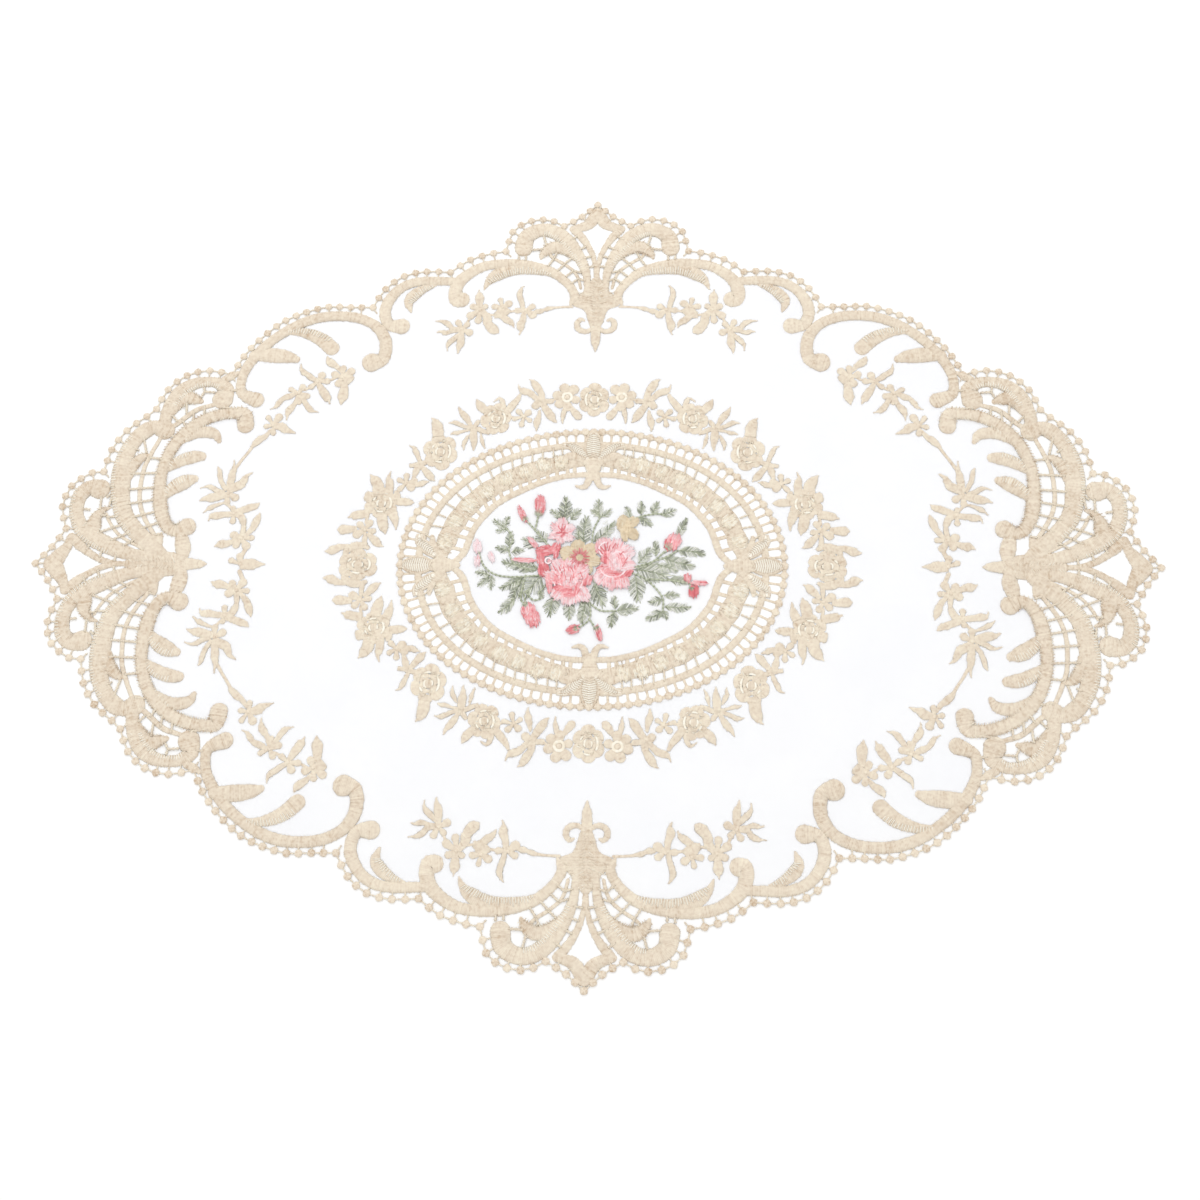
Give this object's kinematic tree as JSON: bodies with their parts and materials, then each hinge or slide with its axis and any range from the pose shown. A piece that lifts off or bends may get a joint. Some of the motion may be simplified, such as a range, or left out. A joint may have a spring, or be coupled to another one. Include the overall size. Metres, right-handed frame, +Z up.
{
  "type": "lace doily",
  "caption": "Flat pointed-oval lace table doily: sheer ground, stitched scroll border with picot edge, openwork oval medallion, rose wreath and a coloured bouquet.",
  "frame": {"origin": "middle of the mat, on the surface it rests on", "axes": "+X along the mat's length, +Y across it, +Z up from the surface through the stitched side"},
  "size_m": [0.4498, 0.3314, 0.0034],
  "materials": {
    "cream_lace": "satin-stitched cotton thread on sheer white organza",
    "green_thread": "embroidery thread",
    "rose_thread": "embroidery thread"
  },
  "bodies": {
    "root": {"doily_cloth": "cream_lace", "bouquet_foliage": "green_thread", "bouquet_blooms": "rose_thread"}
  },
  "joints": []
}
